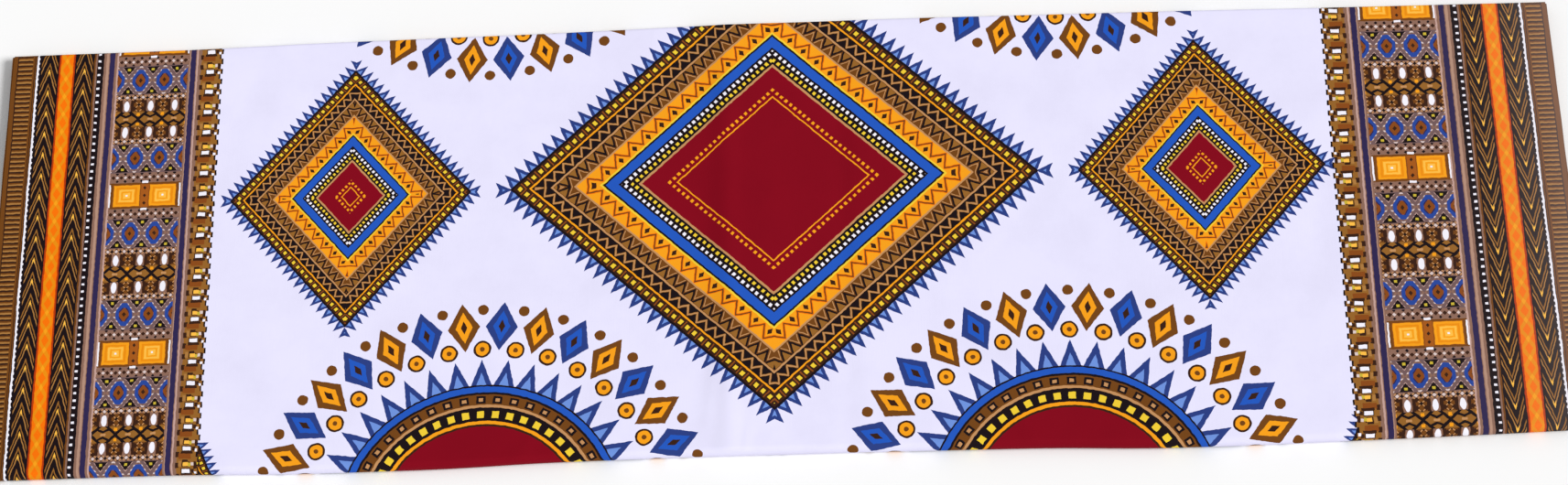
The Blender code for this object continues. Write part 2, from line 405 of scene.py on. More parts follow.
def lay_out_for_picture(mesh, faces, points, across, stations, strips, lining, by_steps):
    """Fills the OFBake map of a sheet that had this many faces and points before Solidify."""
    corners = len(mesh.loops)
    flat = np.zeros(corners * 2)
    mesh.uv_layers["cloth"].data.foreach_get("uv", flat)
    u, v = flat.reshape(-1, 2).T
    if by_steps:
        u = np.interp(u, across, np.arange(len(across)))
        v = np.interp(v, stations[:, 0], np.arange(len(stations)))
    u = (u - u.min()) / np.ptp(u)
    v = (v - v.min()) / np.ptp(v)
    point = np.zeros(corners, dtype=int)
    mesh.loops.foreach_get("vertex_index", point)
    sides = np.zeros(len(mesh.polygons), dtype=int)
    mesh.polygons.foreach_get("loop_total", sides)
    face = np.repeat(np.arange(len(mesh.polygons)), sides)
    middle_u = (np.bincount(face, u) / sides)[face]
    strip = np.clip((middle_u * strips).astype(int), 0, strips - 1)
    strip_height = (1 - lining) / strips
    on_lining = (face >= faces) & (face < 2 * faces)
    margin = PICTURE_MARGIN
    x = np.where(on_lining, u, u * strips - strip)
    x = margin + x * (1 - 2 * margin)
    low = np.where(on_lining, 1 - lining, strip * strip_height)
    high = np.where(on_lining, 1.0, low + strip_height)
    y = low + margin + v * (high - low - 2 * margin)
    lined_rim = (face >= 2 * faces) & (point >= points)
    at_selvedge = np.isin(middle_u.round(6), (0.0, 1.0))
    x += np.where(lined_rim & at_selvedge, np.sign(middle_u - 0.5) * PICTURE_RIM, 0.0)
    y += np.where(lined_rim & ~at_selvedge, np.sign(v - 0.5) * PICTURE_RIM, 0.0)
    picture_map = mesh.uv_layers.new(name="OFBake")
    picture_map.data.foreach_set("uv", np.stack([x, y], axis=1).ravel())


print(f"strips of the picture lie {2 * PICTURE_MARGIN} of its side apart")

# %% [markdown]
# A sheet starts as a plain grid, with a column for each place across and a line for each
# station along, and its points are then moved to their places. Real cloth has two faces and a
# thickness, so Solidify makes the grid a thin closed shell.

# %% From plain grid to folded sheet
SHARP_DEGREES = 50


def fold_sheet(name, across, stations, strips=2, lining=0.08, by_steps=False):
    """A folded sheet with the cloth's thickness, from its places across and along."""
    columns = len(across) - 1
    lines = len(stations) - 1
    bpy.ops.object.select_all(action="DESELECT")
    bpy.ops.mesh.primitive_grid_add(
        x_subdivisions=columns, y_subdivisions=lines, size=1, calc_uvs=False
    )
    sheet = bpy.context.object
    sheet.name = name
    sheet.data.name = name
    mesh = sheet.data
    faces = len(mesh.polygons)
    points = len(mesh.vertices)
    flat = np.zeros(points * 3)
    mesh.vertices.foreach_get("co", flat)
    flat = flat.reshape(-1, 3)
    column = np.rint((flat[:, 0] + 0.5) * columns).astype(int)
    line = np.rint((flat[:, 1] + 0.5) * lines).astype(int)
    u = across[column]
    x, y, z = place_in_pack(u, stations[line].T)
    mesh.vertices.foreach_set("co", np.stack([x, y, z], axis=1).ravel())
    corner = np.zeros(len(mesh.loops), dtype=int)
    mesh.loops.foreach_get("vertex_index", corner)
    cloth_map = mesh.uv_layers.new(name="cloth")
    cloth_places = np.stack([u[corner], stations[line[corner], 0]], axis=1)
    cloth_map.data.foreach_set("uv", cloth_places.ravel())
    mesh.update()
    solidify = sheet.modifiers.new("cotton", "SOLIDIFY")
    solidify.thickness = CLOTH
    solidify.offset = 0
    solidify.use_even_offset = True
    bpy.ops.object.modifier_apply(modifier=solidify.name)
    bpy.ops.object.shade_smooth_by_angle(angle=math.radians(SHARP_DEGREES))
    lay_out_for_picture(mesh, faces, points, across, stations, strips, lining, by_steps)
    triangles = sum(len(face.vertices) - 2 for face in mesh.polygons)
    print(f"{name}: {columns} by {lines} faces, {triangles} triangles")
    return sheet


# %% [markdown]
# The cloth is made as three sheets that meet where nobody sees it. The first lies on the
# table. The second is what shows: the front fold, the top panel, the back fold and a short
# stretch that tucks in. Its grid is finest along the creases near its middle and at the
# selvedges. The third is the rest of the six yards, whose edges and smaller folds show at the
# ends and at the back. Most of it is hidden, so its grid is coarser.

# %% Fold the three sheets
TUCKED_LENGTH = 30 * MM
RUN_STEPS = [10, 88, 90] + [7] * (LAYERS - 3)
TURN_STEPS = [26, 18] + [10] * (LAYERS - 3)
THINNING = 12


def spread(knots, steps):
    """Places from knot to knot, each stretch divided into its own number of steps."""
    places = [np.linspace(a, b, n, endpoint=False) for a, b, n in zip(knots, knots[1:], steps)]
    return np.concatenate(places + [[knots[-1]]])


fine_across = spread(
    [-HALF_WIDTH, -560 * MM, -70 * MM, -20 * MM, 0.0, 30 * MM, 70 * MM, 560 * MM, HALF_WIDTH],
    [10, 104, 26, 5, 7, 16, 104, 10],
)
coarse_across = spread(
    [-HALF_WIDTH, -564 * MM, -420 * MM, -80 * MM, 50 * MM, 420 * MM, 564 * MM, HALF_WIDTH],
    [8, 10, 10, 26, 11, 10, 8],
)
stations = walk(RUN_STEPS, TURN_STEPS)
panel = stations[:, 3]
under_end = np.flatnonzero(panel == 0)[-1]
tuck_start = np.flatnonzero(panel == 2)[0]
tuck_end = np.flatnonzero(stations[:, 0] <= stations[tuck_start, 0] + TUCKED_LENGTH)[-1]
number = np.arange(len(stations))
thinned = (panel == 2) & (number > tuck_end) & (number % THINNING > 0)
thinned[np.flatnonzero(panel == 2)[-1]] = False

under_cloth = fold_sheet("under_cloth", fine_across, stations[: under_end + 1])
outer_cloth = fold_sheet("outer_cloth", fine_across, stations[under_end : tuck_end + 1])
inner_stations = stations[(number >= tuck_end) & ~thinned]
inner_cloth = fold_sheet(
    "inner_cloth", coarse_across, inner_stations, strips=1, lining=0.5, by_steps=True
)
print(f"the whole cloth is {stations[-1, 0]:.4f} m long")

# %% [markdown]
# The print is drawn by nodes, from sums on the cloth's own flat coordinates. So it stays sharp
# from close by, and it follows every fold. A sum should read like a sum, so one small class
# wraps a socket: adding two of them adds a Math node. Comparisons give masks of zeros and
# ones, which say where a colour goes, and & and | join masks.

# %% A helper that turns sums into nodes


class Ink:
    """One socket of a node tree. Sums and comparisons with it add nodes to the tree."""

    def __init__(self, tree, socket=None):
        self.tree = tree
        self.socket = socket

    def node(self, kind, settings, sockets, output=0):
        """Adds any node. Its settings are set first, then the values or links of its sockets."""
        added = self.tree.nodes.new(kind)
        for name, value in settings.items():
            if name == "stops":
                fill_ramp(added.color_ramp, value)
            else:
                setattr(added, name, value)
        for name, value in sockets.items():
            if isinstance(value, Ink):
                self.tree.links.new(value.socket, added.inputs[name])
            else:
                added.inputs[name].default_value = value
        return Ink(self.tree, added.outputs[output] if added.outputs else None)

    def maths(self, operation, *others):
        """A Math node on this value, then the others."""
        sockets = dict(enumerate((self, *others)))
        return self.node("ShaderNodeMath", {"operation": operation}, sockets)

    def __add__(self, other):
        return self.maths("ADD", other)

    def __sub__(self, other):
        return self.maths("SUBTRACT", other)

    def __rsub__(self, other):
        return self.maths("MULTIPLY_ADD", -1.0, other)

    def __mul__(self, other):
        return self.maths("MULTIPLY", other)

    def __truediv__(self, other):
        return self.maths("DIVIDE", other)

    def __rtruediv__(self, other):
        return self.node("ShaderNodeMath", {"operation": "DIVIDE"}, {0: other, 1: self})

    def __abs__(self):
        return self.maths("ABSOLUTE")

    def __lt__(self, other):
        return self.maths("LESS_THAN", other)

    def __gt__(self, other):
        return self.maths("GREATER_THAN", other)

    def __or__(self, other):
        return self.maths("MAXIMUM", other)

    __radd__ = __add__
    __rmul__ = __mul__
    __and__ = __mul__
    __rand__ = __mul__
    __ror__ = __or__


# %% [markdown]
# A print is flat patches of dye, one over the other. So its helpers are of two kinds: some
# give a colour, or hard bands of colour, and the others give the mask of a shape, such as a
# stripe, a lozenge, an oval, or the marks of a row that repeats.

# %% Helpers for dyes and shapes


def fill_ramp(ramp, stops):
    """Hard bands of colour: each stop is the share where a band starts, and its colour."""
    ramp.interpolation = "CONSTANT"
    while len(ramp.elements) < len(stops):
        ramp.elements.new(1.0)
    for element, (start, colour) in zip(ramp.elements, stops):
        element.position = start
        element.color = colour


def dye(code):
    """A dye's colour from its six-digit screen code, as Blender's linear values."""
    shares = [int(code[i : i + 2], 16) / 255 for i in (0, 2, 4)]
    linear = [s / 12.92 if s <= 0.04045 else ((s + 0.055) / 1.055) ** 2.4 for s in shares]
    return (*linear, 1.0)


def near(value, middle, reach):
    """One where a value is within reach of the middle, and zero elsewhere."""
    return value.maths("COMPARE", middle, reach)


def apart(value, period):
    """Distance to the nearest of many lines, one for each period: 0 on a line."""
    return value.maths("PINGPONG", period / 2)


def bands(value, width, stops):
    """Hard bands of colour along a value that runs from 0 to width."""
    shares = [(start / width, colour) for start, colour in stops]
    return value.node("ShaderNodeValToRGB", {"stops": shares}, {0: value / width})


def paint(under, colour, mask):
    """A colour over what lies under it, where the mask is one."""
    sockets = {0: mask, 6: under, 7: colour}
    return mask.node("ShaderNodeMix", {"data_type": "RGBA"}, sockets, output=2)


def lozenge(x, y, half_width, half_height):
    """One inside a lozenge round the place where both distances are 0."""
    return (x / half_width + y / half_height) < 1.0


def oval(x, y, half_width, half_height):
    """One inside an oval round the place where both distances are 0."""
    return (x * x / half_width**2 + y * y / half_height**2) < 1.0


def marks(value, middle, reach, to_mark, half_length):
    """One in a row of marks: within reach of the row's middle, and close to one of them."""
    return near(value, middle, reach) & (to_mark < half_length)


print("a screen's middle grey is", round(dye("808080")[0], 2), "of its white in linear light")

# %% [markdown]
# Prints of this kind use few dyes: indigo, a red, gold, and browns where they overlap. The
# cloth between them is a cool white. The codes below are the colours as they look in daylight.

# %% The dyes
GROUND = dye("E9E6FF")
WHITE = dye("F6F3FC")
CRIMSON = dye("84041A")
NAVY = dye("2C3F82")
DEEP_NAVY = dye("302850")
BLUE = dye("2458BE")
DULL_BLUE = dye("2A489A")
PALE_BLUE = dye("6F93DC")
GOLD = dye("F8A11A")
DEEP_GOLD = dye("EC8E10")
PALE_GOLD = dye("FFC04A")
YELLOW = dye("F2CE38")
ORANGE = dye("F97404")
DARK_RED = dye("B43A0A")
BLACK = dye("1A1014")
DARK_BROWN = dye("3A2014")
RUST = dye("8A4A1A")
BRIGHT_RUST = dye("A65A1C")
BROWN = dye("734418")
LIGHT_BROWN = dye("96642A")
STRAW = dye("AC7A40")
TAN = dye("C4905E")
PINK_BROWN = dye("8E6A5A")
MAUVE_BROWN = dye("735A5A")
ROSE = dye("B48E7A")
PINK = dye("C4A096")
PALE_PINK = dye("DDCBC8")
OLIVE = dye("CBB43A")
print("the ground between the dyes is", [round(share, 2) for share in GROUND[:3]])

# %% [markdown]
# Each point's flat place comes from the UV map named cloth. It is turned into millimetres: how
# far from the middle of the loom width, and how far along the six yards. A picture of the print
# could be laid on the cloth instead, but it would blur close by and need a file. A dye never
# stops on a perfectly straight line, so a little noise moves every point by a fraction of a
# millimetre.

# %% Where on the flat cloth a point lies
REPEAT = 521.0
ROW_PLACE_Y = 43.0 * MM
WANDER_MM = 0.9
WANDER_SCALE = 0.22

top_start = stations[panel == 1][0]
FIRST_ROW = (top_start[0] + ROW_PLACE_Y - top_start[1]) / MM

printed_cotton = bpy.data.materials.new("printed_cotton")
printed_cotton.use_nodes = True
print_nodes = printed_cotton.node_tree.nodes
print_nodes.clear()
blank = Ink(printed_cotton.node_tree)


def vector_maths(operation, sockets):
    """A Vector Math node, for places and colours."""
    return blank.node("ShaderNodeVectorMath", {"operation": operation}, sockets)


def flat_noise(place, scale, detail, roughness, output=0):
    """Noise over the flat cloth: output 0 is a number, and output 1 a colour."""
    sockets = {"Vector": place, "Scale": scale, "Detail": detail, "Roughness": roughness}
    return blank.node("ShaderNodeTexNoise", {"noise_dimensions": "2D"}, sockets, output)


def coordinate(place, axis):
    """One coordinate of a place: axis 0 is across the cloth, and axis 1 along it."""
    return blank.node("ShaderNodeSeparateXYZ", {}, {0: place}, axis)


flat_place = blank.node("ShaderNodeUVMap", {"uv_map": "cloth"}, {})
flat_mm = vector_maths("SCALE", {0: flat_place, "Scale": 1 / MM})
noise = flat_noise(flat_mm, WANDER_SCALE, 1.0, 0.6, output=1)
centred = vector_maths("SUBTRACT", {0: noise, 1: (0.5, 0.5, 0.5)})
wandering = {0: centred, 1: (WANDER_MM, WANDER_MM, 0.0), 2: flat_mm}
drawn_mm = vector_maths("MULTIPLY_ADD", wandering)
across = coordinate(drawn_mm, 0)
along = coordinate(drawn_mm, 1)
beside = abs(across)
side = across.maths("SIGN")
print(f"the print's rows repeat every {REPEAT} mm, and one lies at {FIRST_ROW:.1f} mm")

# %% [markdown]
# The middle of the cloth is filled with a design of its own. Between two rows of lozenges lies
# a row of round suns: from the inside out a crimson disc, a beaded ring, a ring of points, a
# ring of gold dots and a ring of rays. Each mark could be drawn by itself and turned into place.
# Polar coordinates, distance and angle from the sun's centre, are shorter: a ring is a distance,
# and what repeats round it is the angle to the nearest of equal spokes.

# %% Rays and dots of the suns
SUN_PLACE = 215.0
SUN_RAYS = 34
RAY_RING = 152.0
DOT_RING = 134.0
OUTER_DOT_RING = 165.0


def beside_spoke(count, shift=0.0):
    """Distance from the nearest of equal spokes. A shift of a half lies between two spokes."""
    turn = 2 * math.pi / count
    return apart(sun_angle + shift * turn, turn) * from_sun


row_place = apart(along - FIRST_ROW, REPEAT)
sun_x = beside - SUN_PLACE
sun_y = REPEAT / 2 - row_place
from_sun = (sun_x * sun_x + sun_y * sun_y).maths("SQRT")
sun_angle = sun_y.maths("ARCTAN2", sun_x)

ray_x = beside_spoke(SUN_RAYS)
ray_y = abs(from_sun - RAY_RING)
every_second = apart(sun_angle, 4 * math.pi / SUN_RAYS) < math.pi / SUN_RAYS
colour = GROUND
for first_dye, second_dye, half_width, half_length in (
    (NAVY, BROWN, 12.0, 19.0),
    (BLUE, GOLD, 6.4, 12.4),
    (DARK_BROWN, DARK_BROWN, 2.4, 5.2),
):
    ray = lozenge(ray_x, ray_y, half_width, half_length)
    colour = paint(colour, first_dye, ray)
    colour = paint(colour, second_dye, ray & every_second)

dot_x = beside_spoke(SUN_RAYS, shift=0.5)
for dot_dye, ring, radius in (
    (DARK_BROWN, DOT_RING, 6.6),
    (GOLD, DOT_RING, 5.0),
    (BROWN, DOT_RING, 1.8),
    (BROWN, OUTER_DOT_RING, 4.0),
):
    colour = paint(colour, dot_dye, oval(dot_x, from_sun - ring, radius, radius))
print("rays drawn,", len(print_nodes), "nodes so far")

# %% [markdown]
# Inside the rays lie a ring of points, a disc of plain bands and two rings of beads. A point is
# a sum too: the room beside its middle line, which grows from the tip inwards. Where it is
# above zero the point is dark blue, and further in it is pale. The disc's bands depend on the
# distance from the centre alone, so one ramp with hard stops draws them all.

# %% Points, disc and beads of the suns
SUN_POINTS = 40
SUN_BEADS = 48
POINT_TIP_RING = 126.0
POINT_SLOPE = 0.38
SUN_POINT_OUTLINE = 3.9
DISC_RADIUS = 106.0
DISC_STRIPES = (
    (0.0, CRIMSON), (74.0, DARK_BROWN), (75.5, GOLD), (78.0, BLACK), (88.5, TAN), (90.5, BROWN),
    (98.5, BLACK), (100.0, BLUE), (104.5, BLACK),
)

point_room = (POINT_TIP_RING - from_sun) * POINT_SLOPE - beside_spoke(SUN_POINTS)
colour = paint(colour, NAVY, point_room > 0.0)
colour = paint(colour, PALE_BLUE, point_room > SUN_POINT_OUTLINE)
disc = bands(from_sun, DISC_RADIUS, DISC_STRIPES)
colour = paint(colour, disc, from_sun < DISC_RADIUS)
bead_x = beside_spoke(SUN_BEADS)
for bead_dye, ring, half_width, half_length in (
    (YELLOW, 83.2, 2.6, 2.6),
    (BLACK, 94.5, 2.8, 3.4),
    (TAN, 94.5, 1.3, 1.6),
):
    colour = paint(colour, bead_dye, marks(from_sun, ring, half_width, bead_x, half_length))
print("suns drawn,", len(print_nodes), "nodes so far")

# %% [markdown]
# The lozenges stand in rows: a large one and two smaller ones in each row, and little ones that
# fill the gaps between the suns. All of them are drawn from two sums: how deep a point lies
# inside the edge, and how far it lies along that edge. Where lozenges meet, the deeper one
# counts. So one set of bands and marks serves every lozenge, whatever its size.

# %% Rows of lozenges
POINT_STEP = 12.4
POINT_LENGTH = 16.0
POINT_OUTLINE = 3.5
LOZENGE_COLUMNS = ("place", "half_row", "wide", "high", "points")
LOZENGES = (
    (0.0, False, 215.0, 200.0, 32),
    (318.0, False, 103.0, 118.0, 23),
    (0.0, True, 40.0, 48.0, 11),
    (421.0, True, 36.0, 84.0, 16),
)


def edge_sums(lozenge_row):
    """Depth inside a lozenge's edge, and place along it, drawn so that its points fit."""
    wide, high, points = (lozenge_row[name] for name in ("wide", "high", "points"))
    x = abs(beside - lozenge_row["place"])
    y = sun_y if lozenge_row["half_row"] else row_place
    slant = math.hypot(wide, high)
    scale = slant / (points * POINT_STEP)
    depth = (1.0 - x / wide - y / high) * (wide * high / slant / scale)
    place = x * (wide / slant / scale) + (high - y) * (high / slant / scale)
    first = (round(POINT_LENGTH * high / wide / POINT_STEP) - 0.5) * POINT_STEP
    last = (points - round(POINT_LENGTH * wide / high / POINT_STEP) + 0.5) * POINT_STEP
    return depth * near(place, (first + last) / 2, (last - first) / 2), place


depth, place = edge_sums(rows(LOZENGE_COLUMNS, LOZENGES)[0])
for lozenge_row in rows(LOZENGE_COLUMNS, LOZENGES)[1:]:
    other_depth, other_place = edge_sums(lozenge_row)
    place = place + (other_place - place) * (other_depth > depth)
    depth = depth.maths("MAXIMUM", other_depth)

point_room = depth * POINT_SLOPE - apart(place, POINT_STEP)
colour = paint(colour, NAVY, (point_room > 0.0) & (depth > 0.0))
colour = paint(colour, PALE_BLUE, point_room > POINT_OUTLINE)
print("lozenges' points drawn,", len(print_nodes), "nodes so far")

# %% [markdown]
# Inside its ring of points, a lozenge is a stack of plain bands, which one ramp with hard stops
# draws. Rows of dots lie on some of them, and zigzags and teeth on others. All of these repeat
# in step with the points, by a share of their step, so they meet at the corners.

# %% Bands and small marks inside the lozenges
LOZENGE_DEPTH = 122.0
LOZENGE_STRIPES = (
    (0.0, BLACK), (2.0, DARK_BROWN), (13.0, GOLD), (15.0, BLACK), (28.0, TAN), (30.0, BROWN),
    (44.0, TAN), (46.0, GOLD), (62.0, YELLOW), (64.0, BLACK), (66.0, BLUE), (75.0, BLACK),
    (89.0, TAN), (91.5, CRIMSON), (115.0, GOLD), (116.6, CRIMSON),
)
ZIGZAG_SLOPE = 1.3
TEETH_MIDDLE = 37.0
TEETH_REACH = 6.4
TEETH_TIPS = 43.5
TEETH_SLOPE = 0.5
FLECK_DEPTH = 57.5

inside = depth - POINT_LENGTH
colour = paint(colour, bands(inside, LOZENGE_DEPTH, LOZENGE_STRIPES), inside > 0.0)
for dot_dye, middle, half_width, step_share, shift, half_length in (
    (RUST, 7.5, 4.4, 0.75, 0.5, 0.75),
    (YELLOW, 7.5, 2.3, 0.75, 0.0, 2.0),
    (WHITE, 79.0, 1.7, 0.5, 0.0, 1.6),
    (YELLOW, 85.2, 1.7, 0.5, 0.5, 1.6),
    (GOLD, 110.5, 1.6, 0.5, 0.0, 1.5),
):
    step = POINT_STEP * step_share
    to_dot = apart(place + shift * step, step)
    colour = paint(colour, dot_dye, marks(inside, middle, half_width, to_dot, half_length))

for wide_dye, thin_dye, middle, reach, foot, step_share, half_width, thin_half in (
    (LIGHT_BROWN, TAN, 21.5, 5.2, 17.4, 1.0, 1.9, 1.0),
    (ORANGE, BROWN, 54.0, 7.6, 48.0, 1.5, 2.4, 1.2),
):
    zigzag = abs(apart(place, POINT_STEP * step_share) * ZIGZAG_SLOPE - (inside - foot))
    in_band = near(inside, middle, reach)
    colour = paint(colour, wide_dye, in_band & (zigzag < half_width))
    colour = paint(colour, thin_dye, in_band & (zigzag < thin_half))

teeth = (TEETH_TIPS - inside) * TEETH_SLOPE - apart(place, POINT_STEP)
in_teeth = near(inside, TEETH_MIDDLE, TEETH_REACH)
for tooth_dye, part_of_tooth in (
    (BLACK, teeth > 0.0),
    (LIGHT_BROWN, teeth > 2.2),
    (TAN, near(teeth, -1.6, 0.5)),
):
    colour = paint(colour, tooth_dye, in_teeth & part_of_tooth)

fleck_x = apart(place, POINT_STEP * 1.5)
colour = paint(colour, DARK_BROWN, lozenge(fleck_x, abs(inside - FLECK_DEPTH), 2.8, 4.0))
print("lozenges drawn,", len(print_nodes), "nodes so far")

# %% [markdown]
# Along each selvedge runs a border of stripes. Its sums use the distance from the selvedge,
# which is stretched a little on the right, as in the photo. First come the plain stripes, as
# one ramp of hard bands, from the selvedge inwards. A separate mesh for each stripe would
# leave seams in the cloth, and ink has none.

# %% Border stripes
BORDER = 160.4
BORDER_OUTLINE = 1.2
RIGHT_STRETCH = 0.00024
BEAD_STEP = 17.0
BEAD_EDGE_DEPTH = 1.6
BEAD_EDGE_HALF_LENGTH = 2.2
STRIPES_END = 164.4
STRIPES = (
    (0.0, BROWN), (17.5, DARK_BROWN), (18.2, WHITE), (20.4, BLACK), (35.8, DARK_RED),
    (36.8, ORANGE), (46.8, DARK_RED), (47.8, BLACK), (62.5, BROWN), (63.8, PINK_BROWN),
    (65.4, BLACK), (70.2, PINK_BROWN), (72.2, ROSE), (74.2, PINK_BROWN), (74.8, DEEP_NAVY),
    (78.6, PINK_BROWN), (80.4, PINK), (81.8, PINK_BROWN), (137.0, ROSE), (137.8, DEEP_NAVY),
    (141.6, PINK_BROWN), (142.2, PINK), (143.7, PINK_BROWN), (146.0, LIGHT_BROWN),
)

inwards = HALF_WIDTH / MM - beside
from_edge = inwards - inwards * inwards * (side + 1.0) * (RIGHT_STRETCH / 2)
stepped = (apart(along, BEAD_STEP / 2) < BEAD_EDGE_HALF_LENGTH) * BEAD_EDGE_DEPTH
colour = paint(colour, BLACK, from_edge < BORDER + BORDER_OUTLINE + stepped)
colour = paint(colour, bands(from_edge, STRIPES_END, STRIPES), from_edge < BORDER + stepped)
print("stripes drawn,", len(print_nodes), "nodes so far")

# %% [markdown]
# On the stripes lie the selvedge's ladder of short dashes, thin lines and dotted lines, the
# chain of lozenges in the orange stripe, and two black bands of nested arrows, which point to
# the back on the left and to the front on the right. An arrow is a slanting line that repeats:
# the further a point lies from the band's middle, the further back along the cloth it is read.

# %% Ladder, dotted lines, orange stripe and arrows
LADDER_STEP = 3.9
STRIPE_MIDDLE = 41.8
CHAIN_STEP = 14.9
CHAIN_SLOPE = 1.7
ARROWS_MIDDLE = 42.1
ARROWS_APART = 13.6
ARROW_LENGTH = 17.4
ARROW_START = 7.4
ARROW_SLOPE = 3.0

for dot_dye, middle, half_width, step, shift, half_length in (
    (STRAW, 9.6, 5.6, LADDER_STEP, 2.95, 1.05),
    (DARK_BROWN, 9.6, 5.6, LADDER_STEP, 0.0, 0.75),
    (BLACK, 20.5, 0.5, 4.4, 0.0, 1.3),
    (WHITE, 67.3, 1.1, 5.8, 0.0, 0.85),
    (DARK_BROWN, 147.0, 1.3, BEAD_STEP / 2, BEAD_STEP / 4, 2.05),
):
    to_dot = apart(along + shift, step)
    colour = paint(colour, dot_dye, marks(from_edge, middle, half_width, to_dot, half_length))
for middle, half_width in ((3.6, 0.4), (16.9, 0.3)):
    colour = paint(colour, DARK_BROWN, near(from_edge, middle, half_width))

stripe_x = abs(from_edge - STRIPE_MIDDLE)
chain_y = apart(along, CHAIN_STEP)
chain = abs(stripe_x * CHAIN_SLOPE - chain_y)
colour = paint(colour, DEEP_GOLD, (stripe_x < 4.4) & (chain < 2.6))
colour = paint(colour, GOLD, lozenge(stripe_x, chain_y, 1.6, 2.6))

arrow_x = abs(abs(from_edge - ARROWS_MIDDLE) - ARROWS_APART)
arrow_run = along - arrow_x * side * ARROW_SLOPE + ARROW_START
arrow_y = arrow_run.maths("FLOORED_MODULO", ARROW_LENGTH)
for arrow_dye, half_width, middle, half_length in (
    (LIGHT_BROWN, 6.3, 12.2, 1.4),
    (STRAW, 6.3, 6.2, 1.3),
    (PALE_GOLD, 0.9, 6.2, 1.6),
):
    colour = paint(colour, arrow_dye, marks(arrow_y, middle, half_length, arrow_x, half_width))
print("outer border drawn,", len(print_nodes), "nodes so far")

# %% [markdown]
# The wide panel of the border is a stack of rows, mirrored about each pair of gold squares: a
# row of small checks, a row of blue lozenges between little dark caps, a row of dots, a row of
# white bars and a band of crosses. Its own coordinates are mirrored in the same way, so each
# motif is written once. The panel's repeat is a quarter of the large one.

# %% The wide panel's coordinates and its rows of checks
PANEL_MIDDLE = 109.2
PANEL_REACH = 27.0
PANEL_REPEAT = REPEAT / 4
PANEL_STRETCH = 0.018
GOLD_ROW = 1.15
GOLD_SLIP = 6.45
CHECK = 6.2
LOZENGE_STEP = 18.5
PANEL_ROW_COLUMNS = ("name", "middle", "reach")
PANEL_ROWS = (
    ("checks", 15.2, 4.6),
    ("blue lozenges", 31.7, 12.5),
    ("dots", 46.2, 2.4),
    ("white bars", 55.0, 11.0),
)

panel_x = abs(from_edge - PANEL_MIDDLE)
panel_run = (along - FIRST_ROW) * (1.0 - side * PANEL_STRETCH) + side * GOLD_SLIP
panel_y = apart(panel_run - GOLD_ROW, PANEL_REPEAT)
in_panel = panel_x < PANEL_REACH
in_row = {
    row["name"]: in_panel & near(panel_y, row["middle"], row["reach"])
    for row in rows(PANEL_ROW_COLUMNS, PANEL_ROWS)
}
on_x = apart(panel_x, CHECK)
on_y = apart(panel_y, CHECK)
off_x = CHECK / 2 - on_x
off_y = CHECK / 2 - on_y

colour = paint(colour, BROWN, in_panel)
colour = paint(colour, PINK_BROWN, in_row["checks"])
for check_dye, x, y, reach in (
    (DARK_BROWN, on_x, off_y, 1.7),
    (BLACK, off_x, on_y, 1.3),
    (PALE_PINK, off_x, off_y, 1.4),
):
    colour = paint(colour, check_dye, in_row["checks"] & lozenge(x, y, reach, reach))
print("checks drawn,", len(print_nodes), "nodes so far")

# %% [markdown]
# A blue lozenge has its tips cut off, which is two more comparisons. A fine dotted net runs
# round each one, and dark caps with an olive dot fill the corners between them.

# %% Blue lozenges and dark caps
BLUE_ROW = 31.7
NET_HALF_WIDTH = 8.6
NET_HALF_HEIGHT = 12.2
NET_LINE = 0.08
CAP_FOOT = 4.4
CAP_TOP = 11.8
CAP_SLOPE = 0.74

colour = paint(colour, MAUVE_BROWN, in_row["blue lozenges"])
blue_x = apart(panel_x + LOZENGE_STEP / 2, LOZENGE_STEP)
blue_y = abs(panel_y - BLUE_ROW)
net = in_panel & near(blue_x / NET_HALF_WIDTH + blue_y / NET_HALF_HEIGHT, 1.0, NET_LINE)
colour = paint(colour, PINK_BROWN, net)
colour = paint(colour, PALE_PINK, net & (apart(blue_y + 0.9, CHECK / 2) < 0.6))
for blue_dye, half_width, half_height, cut_x, cut_y in (
    (DULL_BLUE, 8.2, 12.2, 6.2, 9.3),
    (DEEP_NAVY, 5.5, 7.9, 3.8, 5.6),
    (RUST, 4.4, 6.4, 3.8, 5.6),
    (DARK_BROWN, 1.5, 2.0, 1.5, 2.0),
):
    whole = lozenge(blue_x, blue_y, half_width, half_height)
    colour = paint(colour, blue_dye, in_panel & whole & (blue_x < cut_x) & (blue_y < cut_y))

cap_x = apart(panel_x, LOZENGE_STEP)
cap_room = (blue_y - CAP_FOOT) * CAP_SLOPE - cap_x
cap_edge = near(cap_room, 0.2, 0.4) & (apart(blue_y, 2.6) < 0.8) & (blue_y < NET_HALF_HEIGHT)
colour = paint(colour, PINK, in_panel & cap_edge)
colour = paint(colour, BLACK, in_panel & (cap_room > 0.4) & (blue_y < CAP_TOP))
colour = paint(colour, OLIVE, in_panel & marks(blue_y, 9.4, 1.0, cap_x, 1.1))
print("blue lozenges drawn,", len(print_nodes), "nodes so far")

# %% [markdown]
# White bars stand between dark ones on a ground of small checks. A band of crosses, where black
# arms meet black arches, joins each row of bars with its mirror image.

# %% White bars and crosses
DOT_ROW = 46.4
DARK_BAR_ROW = 53.6
WHITE_BAR_ROW = 54.0
CROSS_MIDDLE = 65.2
CROSS_REACH = 6.6

